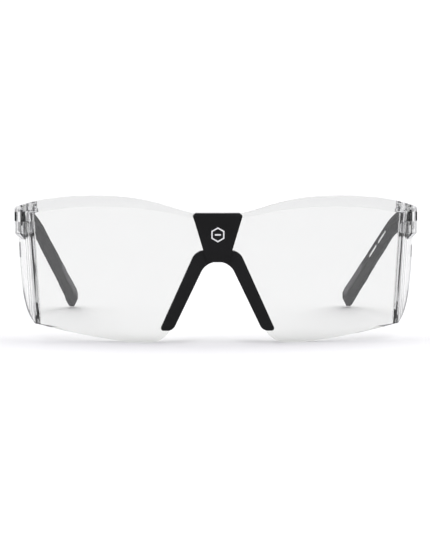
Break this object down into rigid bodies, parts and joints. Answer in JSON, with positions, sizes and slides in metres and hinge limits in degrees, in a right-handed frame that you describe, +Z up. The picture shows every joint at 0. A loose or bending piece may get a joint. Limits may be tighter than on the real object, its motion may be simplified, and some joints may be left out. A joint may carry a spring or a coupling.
{
  "type": "sports protective glasses",
  "caption": "Clear one-piece wrap shield with moulded brow and side wings, black bridge cap and nosepiece, and folding temples.",
  "frame": {"origin": "on the table surface under the middle of the bounding box, with the temples open", "axes": "+X to the wearer's left, +Y from the shield back to the wearer's head, +Z up"},
  "size_m": [0.149, 0.164, 0.0525],
  "materials": {
    "clear_shield": "clear polished polycarbonate",
    "bridge_black": "satin black moulding",
    "nose_black": "fine matte black moulding",
    "pad_rubber": "soft matte elastomer",
    "screw_steel": "small machine screw",
    "temple_black": "satin dark grey moulding",
    "grip_rubber": "soft matte elastomer"
  },
  "bodies": {
    "front": {"front_shield": "clear_shield", "bridge_cap": "bridge_black", "nose_frame": "nose_black", "nose_pad_left": "pad_rubber", "nose_pad_right": "pad_rubber", "bridge_screw": "screw_steel", "hinge_screw_left": "screw_steel", "hinge_screw_right": "screw_steel"},
    "left_temple": {"temple_arm_left": "temple_black", "temple_grip_left": "grip_rubber"},
    "right_temple": {"temple_arm_right": "temple_black", "temple_grip_right": "grip_rubber"}
  },
  "joints": [
    {"name": "left_fold", "type": "hinge", "parent": "front", "child": "left_temple", "pos_m": [0.0716, -0.0505, 0.04425], "axis": [0, 0, 1], "range_deg": [0, 90]},
    {"name": "right_fold", "type": "hinge", "parent": "front", "child": "right_temple", "pos_m": [-0.0716, -0.0505, 0.04425], "axis": [0, 0, 1], "range_deg": [-86, 0]}
  ]
}
